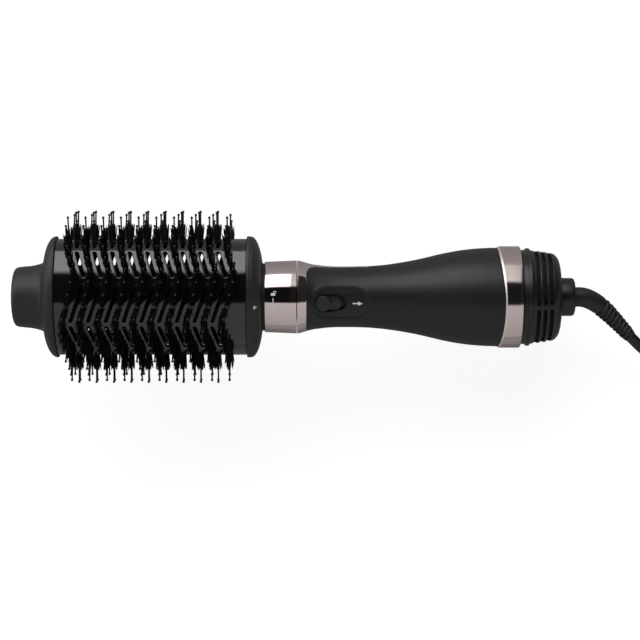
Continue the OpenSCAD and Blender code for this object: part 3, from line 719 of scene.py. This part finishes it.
def stand(columns, distances):
    """Root point, outward normal and two tangents for each unit, all of the shape (units, 3)."""
    column, s = (grid.reshape(-1) for grid in np.meshgrid(columns, distances, indexing="ij"))
    near = (s + 33) % (2 * QUARTER) - 33
    root = on_oval(FIRST + column * PITCH + np.interp(near, wave_s, wave_x), s, np.zeros(len(s)))
    a = normal_at(s + SHIFT)
    normal = np.stack([a * 0, np.sin(a), np.cos(a)], -1)
    return root, normal, np.tile([1.0, 0, 0], (len(s), 1)), np.stack([a * 0, np.cos(a), -np.sin(a)], -1)


def units(columns, distances, set_name):
    """The units of one set; the sides also hold the ones between the columns."""
    parts = stand(columns, distances)
    if set_name.endswith("sides"):
        parts = [np.concatenate(pair) for pair in zip(parts, stand(EDGE_COLUMNS, edges))]
    return parts


def shafts(name, roots, axes, across, up, profile, sides):
    """Many small turned shapes in one mesh: a profile of heights and radii round each axis, each
    shape closed by a fan at both ends."""
    a = np.linspace(0, 2 * np.pi, sides, endpoint=False)
    h, r = profile
    circle = across[:, None, None] * np.cos(a)[:, None] + up[:, None, None] * np.sin(a)[:, None]
    rings = roots[:, None, None] + axes[:, None, None] * h[..., None, None] + circle * r[..., None, None]
    count, levels = rings.shape[:2]
    tips = np.stack([rings[:, 0].mean(1), rings[:, -1].mean(1)], 1)
    verts = np.concatenate([rings.reshape(count, -1, 3), tips], 1)
    each = levels * sides + 2
    base = (np.arange(count) * each)[:, None, None]
    i = np.arange(sides)
    j = (i + 1) % sides
    end = (levels - 1) * sides
    first = np.stack([i * 0 + each - 2, i, j], -1)
    last = np.stack([i * 0 + each - 1, end + j, end + i], -1)
    walls = (quads(levels, sides)[None] + base).reshape(-1, 4)
    fans = (np.concatenate([first, last])[None] + base).reshape(-1, 3)
    return fill(name, row(verts.reshape(-1, 3)), [walls, fans], sharp=50)


def flip(piece):
    """Turns a mesh inside out, for a frame of axes of the other hand."""
    piece.data.flip_normals()
    return piece


pin_h = np.array([-0.3, 15.2, 15.4, 15.75, 16.15, 16.55, 16.78])
pin_r = np.array([0.5, 0.46, 0.6, 0.8, 0.8, 0.55, 0.2])
nylon_pins = finish("nylon_pins", (0.008, 0.008, 0.0085), 0.3, grain=3000, depth=0.004, drift=0.3)
bristle_tufts = finish("bristle_tufts", (0.0085, 0.008, 0.008), 0.45, grain=5000, depth=0.01, drift=0.8,
                       smudge=0.2, shine=0.4)
all_round = places["top"] + places["bottom"] + places["sides"]
pin_sets = {"pins_front_column": ([0], all_round), "pins_rear_column": ([9], all_round),
            "pins_top": (range(1, 9), places["top"]), "pins_bottom": (range(1, 9), places["bottom"]),
            "pins_sides": (range(1, 9), places["sides"])}
for name, (columns, distances) in pin_sets.items():
    root, normal, across, up = units(list(columns), distances, name)
    piece = shafts(name + "_ball", root, normal, across, up, (pin_h[None], pin_r[None]), 6)
    dress(flip(piece), nylon_pins, "brush_head", [name])

HAIRS = 15
TUFT_H = 9.3
GOLDEN = 2.39996
for name, distances in places.items():
    chance = np.random.default_rng(len(name))
    root, normal, across, up = (np.repeat(part, HAIRS, 0)
                                for part in units(np.arange(10), distances, name))
    count = len(root)
    k = np.arange(count) % HAIRS
    spin = k * GOLDEN + chance.uniform(0, 0.5, count)
    reach = np.sqrt((k + 0.5) / HAIRS)
    foot = 1.45 * reach
    lean = (0.95 * reach + chance.normal(0, 0.16, count)) / TUFT_H
    out = across * np.cos(spin)[:, None] + up * np.sin(spin)[:, None]
    axis = normal + out * lean[:, None] + across * chance.normal(0, 0.025, count)[:, None]
    top = TUFT_H * chance.uniform(0.86, 1.0, count)
    hair_h = np.stack([top * 0 - 0.2, top * 0.75, top], -1)
    hair_r = np.broadcast_to([0.42, 0.36, 0.15], (count, 3))
    turned = across * np.cos(spin)[:, None] - up * np.sin(spin)[:, None]
    other = np.cross(axis, turned)
    other /= np.linalg.norm(other, axis=1, keepdims=True)
    piece = shafts("tufts_" + name + "_hairs", root + out * foot[:, None], axis, turned, other,
                   (hair_h, hair_r), 3)
    dress(flip(piece), bristle_tufts, "brush_head", ["tufts_" + name])


# ---------------------------------------------------------------- neck
# A dark seal in the gap, then a ring of rose-tinted chrome on the handle with three printed marks:
# an open padlock, a stroke and a shut padlock. Behind it a chrome trim ends in two thin wings that
# run back along the seam between the handle's shells.
handle_line = np.array([[168.2, 21.8], [170.5, 21.2], [173.6, 20.3], [177, 19.4], [180.5, 19], [186, 18.4],
                        [193.5, 18.1], [205, 18.2], [217, 18.8], [229, 20.4], [240.7, 22.6], [252.5, 25.4],
                        [258.4, 26.6], [264, 27.6], [270.2, 28.4], [276, 28.9], [282, 29.2], [289.5, 29.4]])
fine_line = smooth_path(handle_line, 12)


def handle_r(x):
    """Radius of the handle at a station, along a smooth curve through its stations."""
    return np.interp(x, fine_line[:, 0], fine_line[:, 1])


black_rubber = finish("black_rubber", (0.01, 0.01, 0.011), 0.6, grain=2000)
dress(frame["nodes"]["neck_seal"], black_rubber)
rose_chrome = finish("rose_chrome", (0.77, 0.665, 0.655), 0.045, metal=1.0, lines=500, depth=0.0012,
                     drift=0.04, smudge=0.06)


def lathe(name, profile, loop=True, sharp=38):
    """A turned piece from [x, radius] points, outside first and inside back."""
    return loft(name, [disc(x, r) for x, r in profile], loop, sharp=sharp)


dress(lathe("neck_ring_chrome", [[149, 18], [149, 20.4], [149.1, 20.7], [149.5, 20.9], [158, 21.25],
                                 [167.5, 21.66], [167.8, 21.6], [167.9, 21.3], [167.9, 18]]),
      rose_chrome, "handle", ["neck_ring"])


def on_ring(u, v, h):
    """Point on the neck ring: u along the tool, v round it, in millimetres at radius 21.3."""
    return polar(u, 20.87 + (u - 149.5) * 0.0439 + h, v / 21.3)


def padlock(name, x, v, open_by):
    """A padlock seen from the front: a solid body and a bent shackle, swung up when open."""
    body = ribbon(name + "_body", [[x - 1.2, v - 0.15], [x, v - 0.15], [x + 1.2, v - 0.15]], 1.6, on_ring)
    a = np.linspace(0, math.pi, 9)
    bend = np.stack([x + open_by + 0.75 * np.cos(a), v + 1.0 + 0.75 * np.sin(a)], -1)
    shackle = np.concatenate([[[x + open_by + 0.75, v + 0.5]], bend])
    if not open_by:
        shackle = np.concatenate([shackle, [[x - 0.75, v + 0.5]]])
    return [body, ribbon(name + "_shackle", shackle, 0.36, on_ring)]


marks = padlock("open_mark", 154.2, 6.5, 0.9) + padlock("shut_mark", 154.2, -1.6, 0.0)
marks.append(ribbon("lock_stroke", [[154.2, 1.5], [154.2, 2.8], [154.2, 4.1]], 0.5, on_ring))
for mark in marks:
    dress(mark, ink, "handle")

wing = np.array([[173.6, 10.5], [175.2, 6], [178, 3.4], [181, 2.4], [196, 1.1], [211.4, 0.3]])
wing_fine = smooth_path(wing, 10)
quarter_a = np.sort(np.concatenate([np.linspace(0, 1, 20), 1 - np.geomspace(0.004, 0.5, 34)])) * np.pi / 2
trim_a = np.concatenate([quarter_a[:-1], np.pi - quarter_a[::-1][:-1], np.pi + quarter_a[:-1],
                         2 * np.pi - quarter_a[::-1][:-1]])
from_seam = np.abs(np.cos(trim_a)) * 19
rear_x = np.interp(from_seam, wing_fine[::-1, 1], wing_fine[::-1, 0])
trim = []
trim_line = ((0, -0.5), (0, -0.15), (0.02, 0.03), (0.12, 0.06), (0.3, 0.06), (0.5, 0.06), (0.7, 0.06),
             (0.88, 0.06), (0.97, 0.05), (1, -0.02), (1, -0.35), (0.5, -0.45), (0.12, -1.2))
for share, lift in trim_line:
    x = 168.2 + (rear_x - 168.2) * share
    trim.append(polar(x, handle_r(x) + lift, trim_a))
dress(weld(loft("neck_trim_chrome", trim, loop=True)), rose_chrome, "handle", ["neck_trim"])


# ---------------------------------------------------------------- handle shells
# Two soft-touch black halves, screwed together along the tool's sides. The front one has a shallow
# long hollow round the release button's opening and a printed arrow; its rear edge is scalloped.
LEVEL_R = 18.2
SHELL = 1.9
HOLLOW = 0.95
HEAD_END = 173.55


def on_handle(u, v, h):
    """Point on the handle: u round it, in millimetres at radius 18.2, v along the tool, h proud."""
    return polar(v, handle_r(v) + h, u / LEVEL_R)


def scallop(a):
    """Station of the shells' rear edge at an angle: a wide cylinder across the tool cuts it."""
    y = 29.4 * np.sin(a)
    return 147.4 + np.sqrt(142.0 ** 2 - y ** 2)


SEAM = math.pi / 2 - 0.004
PATCH_END = 214.0
reach = SEAM * LEVEL_R


def moved(outline, v):
    """An outline carried along the tool."""
    return outline + [0, v]


opening = [moved(obround(5.5 + out, 9.25 + out, 24, 14), 187.95) for out in (0, 0.12, 0.4)]
floor_edge = [moved(obround(w, 17.4 + w - 10.6, 24, 14), 193.8) for w in (8.8, 9.5, 10.1, 10.6, 11.3)]
border = frame_box(-reach, reach, HEAD_END, PATCH_END, 24, 14)
outlines = [border, border * 0.6 + floor_edge[4] * 0.4, border * 0.25 + floor_edge[4] * 0.75]
outlines += [floor_edge[4], floor_edge[3], floor_edge[2], floor_edge[1], floor_edge[0]]
outlines += [opening[2] * 0.5 + floor_edge[0] * 0.5, opening[2], opening[1], opening[0], opening[0], border]
heights = [0, 0, 0, 0.0, 0.2, 0.02, -0.78, -HOLLOW, -HOLLOW, -HOLLOW, -1.05, -1.35, -SHELL - 1, -SHELL]
patch = punched(outlines, heights, on_handle)
tail_share = np.concatenate([np.linspace(0, 0.985, 46), [0.996, 1.0]])


def tail_skin(u, start):
    """Grid of the shell from a station back to its scalloped rear edge, and home again inside."""
    a = u / LEVEL_R
    grid = []
    for share in tail_share:
        grid.append(on_handle(u, start + (scallop(a) - start) * share, u * 0 - 0.12 * (share > 0.999)))
    for share in tail_share[::-1]:
        grid.append(on_handle(u, start + (scallop(a) - start) * share, u * 0 - SHELL))
    return np.stack(grid)


u_line = np.linspace(-reach, reach, 25)
soft_touch_shell = finish("soft_touch_shell", (0.0095, 0.0095, 0.01), 0.43, grain=2600, depth=0.01,
                          drift=0.16, smudge=0.13, shine=0.44)
v_side = np.linspace(HEAD_END, PATCH_END, 15)


def edge_wall(u, v):
    """Narrow strip that closes a shell's cut edge from outside to inside."""
    return np.stack([on_handle(u, v, v * 0), on_handle(u, v, v * 0 - SHELL)])


back_of_tail = tail_skin(u_line, PATCH_END)
count = len(tail_share)
walls = [edge_wall(u_line, u_line * 0 + HEAD_END)]
for side in (0, -1):
    walls.append(edge_wall(v_side * 0 + u_line[side], v_side))
    walls.append(np.stack([back_of_tail[:count, side], back_of_tail[count:, side][::-1]]))
dress(sleeve("front_shell_skin", [patch], [back_of_tail] + walls), soft_touch_shell, "handle",
      ["front_shell"])

stations = np.concatenate([[HEAD_END, 173.8], np.linspace(175, PATCH_END, 24)])
outer = np.stack([on_handle(u_line, u_line * 0 + station, u_line * 0) for station in stations])
inner = np.stack([on_handle(u_line, u_line * 0 + station, u_line * 0 - SHELL) for station in stations])
grids = [outer, inner, back_of_tail, edge_wall(u_line, u_line * 0 + HEAD_END)]
for side in (0, -1):
    grids.append(np.stack([outer[:, side], inner[:, side]]))
    grids.append(np.stack([back_of_tail[:count, side], back_of_tail[count:, side][::-1]]))
dress(sleeve("back_shell_skin", [], [grid * [1, -1, -1] for grid in grids]), soft_touch_shell, "handle",
      ["back_shell"])
steel = finish("steel", (0.55, 0.55, 0.56), 0.3, metal=1.0, lines=1800, depth=0.008)
dress(frame["nodes"]["shell_screws"], steel)


def on_hollow(u, v, h):
    """Point on the floor of the front shell's hollow."""
    return on_handle(u, v, h - HOLLOW)


arrow = ribbon("arrow_print", [[0, 200.7], [0, 203.9], [0, 203.95], [0, 205.2], [0, 206.5]],
               [0.75, 0.75, 2.7, 1.4, 0.1], on_hollow)
dress(arrow, ink, "handle")


# ---------------------------------------------------------------- release button
# The thumb slide that frees the head: a round dished grip with fine ridges on a flat carrier. A
# small spring behind the carrier pushes it forward; pulling it back draws the latch.
def knob(x, r, z):
    """Ring round the button's own upright axis."""
    a = -round_a[::2]
    return np.stack([x + r * np.cos(a), r * np.sin(a), np.full(SIDES // 2, z)], -1)


button_plastic = finish("button_plastic", (0.016, 0.016, 0.017), 0.4, grain=900, depth=0.09, drift=0.4,
                        smudge=0.2)
grip_line = ((0.5, 15.05), (4.5, 15.05), (4.55, 17.6), (4.5, 18.3), (4.3, 18.7), (3.9, 18.88),
             (3.45, 18.8), (3.2, 18.45), (2.95, 18.35), (2.7, 18.62), (2.4, 18.62), (2.1, 18.3),
             (1.9, 18.25), (1.6, 18.5), (1.3, 18.5), (1.0, 18.22), (0.3, 18.15))
grip = [knob(183.5, r, z) for r, z in grip_line]
dress(weld(loft("button_grip", grip, sharp=60)), button_plastic, "release_button")
dress(frame["nodes"]["release_button"], button_plastic)
pad = []
pad_line = ((-3, 14.9), (0, 14.9), (0, 15.55), (-0.25, 15.8), (-0.7, 15.92), (-3, 15.95),
            (-4.6, 15.95))
for grow, lift in pad_line:
    outline = obround(4.9 + grow, 6.9 + grow, 16, 12) + [0, 187.7]
    top = np.sqrt(lift ** 2 - outline[:, 0] ** 2) if lift > 15 else np.full(len(outline), lift)
    pad.append(np.stack([outline[:, 1], outline[:, 0], top], -1))
dress(weld(loft("button_pad", pad)), button_plastic, "release_button")
dark_spring = finish("spring_steel", (0.05, 0.05, 0.052), 0.35, metal=1.0, lines=1500)
dress(frame["nodes"]["button_spring"], dark_spring)


# ---------------------------------------------------------------- rear band
# A rose-tinted metal band that holds the shells' rear ends together. Its front edge follows their
# scallop and is turned over in a bevel, whose faces are painted a paler metal as a painted highlight.
def banded(share, r, tuck=0.0):
    """Ring of the band at a share of its length behind the scalloped front edge."""
    front = scallop(round_a) + 0.1 + tuck
    return polar(front + (299.7 - front) * share, r, round_a)


band_rings = [banded(0, 28.3, 0.5), banded(0, 29.4, 0.1)]
band_rings += [banded(share, r) for share, r in (
    (0, 29.5), (0.085, 30.0), (0.095, 30.1), (0.11, 30.1), (0.3, 30.1), (0.6, 30.1), (0.96, 30.1),
    (0.985, 30.0), (1, 29.7), (1, 28.3))]
rose_band = finish("rose_band", (0.74, 0.635, 0.62), 0.1, metal=1.0, lines=700, depth=0.0015,
                   drift=0.04, smudge=0.08)
band_piece = dress(weld(loft("rear_band_metal", band_rings, loop=True)), rose_band, "handle", ["rear_band"])
# A paler, rougher copy of the band's rose metal: a painted highlight on the bevel, not a different metal.
painted_highlight_metal = finish("bevel_painted_highlight", (0.95, 0.88, 0.87), 0.42, metal=1.0, lines=900, depth=0.004)
band_piece.data.materials.append(painted_highlight_metal)
# Faces whose normal leans against the camera's right-hand direction, those of the front bevel, take the
# paler metal: the painted highlight.
centres = np.zeros(len(band_piece.data.polygons) * 3)
normals = np.zeros_like(centres)
band_piece.data.polygons.foreach_get("center", centres)
band_piece.data.polygons.foreach_get("normal", normals)
lean = normals.reshape(-1, 3) @ np.array(right_way)
band_piece.data.polygons.foreach_set("material_index", ((lean < -0.2) & (lean > -0.9)).astype(np.int32))


# ---------------------------------------------------------------- control dial
# The turning rear end that sets heat and speed, in satin black. Three rows of slots let air in,
# over a fine filter; a raised rib and a tick mark help to read it.
dial_line = smooth_path([[306.2, 27.7], [312, 27.1], [318.5, 26], [321, 24.7], [322.6, 22.4],
                         [323.3, 19]], 12)
MID_R = 26.8


def dial_r(x):
    """Radius of the dial's slotted wall at a station."""
    return np.interp(x, dial_line[:, 0], dial_line[:, 1])


def on_dial(u, v, h):
    """Point on the dial: u along the tool, v round it, in millimetres at radius 26.8."""
    return polar(u, dial_r(u) + h, v / MID_R)


DIAL_WALL = 1.3
quarter = MID_R * math.pi / 2
cells = []
borders = []
for lap in range(4):
    middle = quarter * (lap + 0.5)
    slots = [obround(1.1 + out, quarter / 2 - 1.35 + out, 6, 20) + [0, middle] for out in (0, 0.07, 0.25)]
    edge = frame_box(-1.9, 1.9, quarter * lap, quarter * (lap + 1), 6, 20)
    outlines = [edge, slots[2], slots[1], slots[0], slots[0], edge]
    heights = [0, 0, -0.07, -0.28, -DIAL_WALL, -DIAL_WALL]
    for station in (309, 312.8, 316.6):
        cells.append(punched(outlines, heights, lambda u, v, h: on_dial(station + u, v, h)))
    v = np.linspace(quarter * lap, quarter * (lap + 1), 21)
    one = v * 0
    rear = [on_dial(one + 318.5, v, one)]
    rear += [on_dial(one + x, v, one) for x in np.linspace(318.9, 323.28, 14)]
    cap = [(323.3, 18.6), (323.3, 11.75), (323.1, 11.5), (320.9, 11.5), (320.8, 11.8), (320.8, 22)]
    rear += [polar(one + x, r, v / MID_R) for x, r in cap]
    rear += [on_dial(one + 318.5, v, one - DIAL_WALL)]
    borders.append(np.stack(rear))
    front_line = [(306.2, 27.9), (305.55, 28.1), (305.4, 28.7), (305.1, 28.98), (303.7, 29), (303.35, 28.8),
                  (303.2, 28.2), (302.7, 27.95), (300.35, 27.9), (300.05, 27.7), (300, 27.2), (300, 25.9),
                  (300.4, 25.6), (306.5, 25.4)]
    front = [on_dial(one + 307.1, v, one), on_dial(one + 306.6, v, one)]
    front += [polar(one + x, r, v / MID_R) for x, r in front_line]
    front += [on_dial(one + 307.1, v, one - DIAL_WALL)]
    borders.append(np.stack(front))
dial_plastic = finish("dial_plastic", (0.009, 0.009, 0.0095), 0.36, grain=1300, depth=0.008, drift=0.2,
                      smudge=0.12)
dress(sleeve("control_dial_moulding", cells, borders), dial_plastic, "control_dial", ["control_dial"])
pale_ink = finish("dial_mark", (0.07, 0.07, 0.07), 0.5, grain=4000, depth=0.004)
tick = ribbon("dial_tick", [[303.6, 0], [304.3, 0], [305, 0]], 0.4,
              lambda u, v, h: np.stack([u, v, np.sqrt(29.0 ** 2 - v ** 2) + h], -1))
dress(tick, pale_ink, "control_dial")
dress(frame["nodes"]["contact_ring"], finish("brass", (0.7, 0.5, 0.2), 0.3, metal=1.0, lines=1500))
dress(frame["nodes"]["wipers"], frame["nodes"]["contact_ring"].data.materials[0])
filter_mesh = finish("filter_mesh", (0.003, 0.003, 0.003), 0.8, grain=1800, depth=0.1)
dress(frame["nodes"]["inlet_filter"], filter_mesh)


# ---------------------------------------------------------------- cord swivel
# A turned hub in satin black that lets the cord spin, held in the tail by a clip.
hub_line = [[323.7, 3.4], [323.7, 11.0], [323.8, 11.2], [324.2, 11.3], [330.6, 11.3], [331.5, 11.05],
            [332.1, 10.5], [332.4, 9.7], [332.4, 7.2], [332.2, 6.3], [332.2, 3.4]]
dress(lathe("swivel_hub_moulding", hub_line), dial_plastic, "cord", ["swivel_hub"])


# ---------------------------------------------------------------- inner parts
# What is out of sight keeps its CAD shape, in the finish of the real part: mica and glass-filled
# plastic round the heater, steel and ferrite in the motor, and a printed board for the switch.
heatproof = finish("heatproof_plastic", (0.06, 0.055, 0.05), 0.5, grain=1200, depth=0.02)
mica = finish("mica", (0.5, 0.44, 0.32), 0.35, grain=500, depth=0.02, drift=0.9)
heater_wire = finish("heater_wire", (0.4, 0.37, 0.34), 0.4, metal=1.0, lines=1500)
ferrite = finish("ferrite", (0.05, 0.05, 0.055), 0.5, metal=0.3, grain=1500)
board = finish("circuit_board", (0.02, 0.14, 0.05), 0.4, grain=900, depth=0.03)
kept = {"spigot": heatproof, "locking_ring": heatproof, "ring_clip": steel, "collar_screws": steel,
        "mica_tube": mica, "mica_boards": mica, "heater_coils": heater_wire, "thermal_cutout": steel,
        "thermal_fuse": aluminium, "motor_can": steel, "motor_magnets": ferrite, "motor_rotor": steel,
        "motor_mount": heatproof, "impeller": heatproof, "fan_shroud": heatproof,
        "tail_frame": dial_plastic,
        "switch_board": board, "hub_clip": steel, "inner_cord": cord_rubber}
for name, material in kept.items():
    dress(frame["nodes"][name], material)


# ---------------------------------------------------------------- update
# Brings the scene's matrices up to date.
bpy.context.view_layer.update()
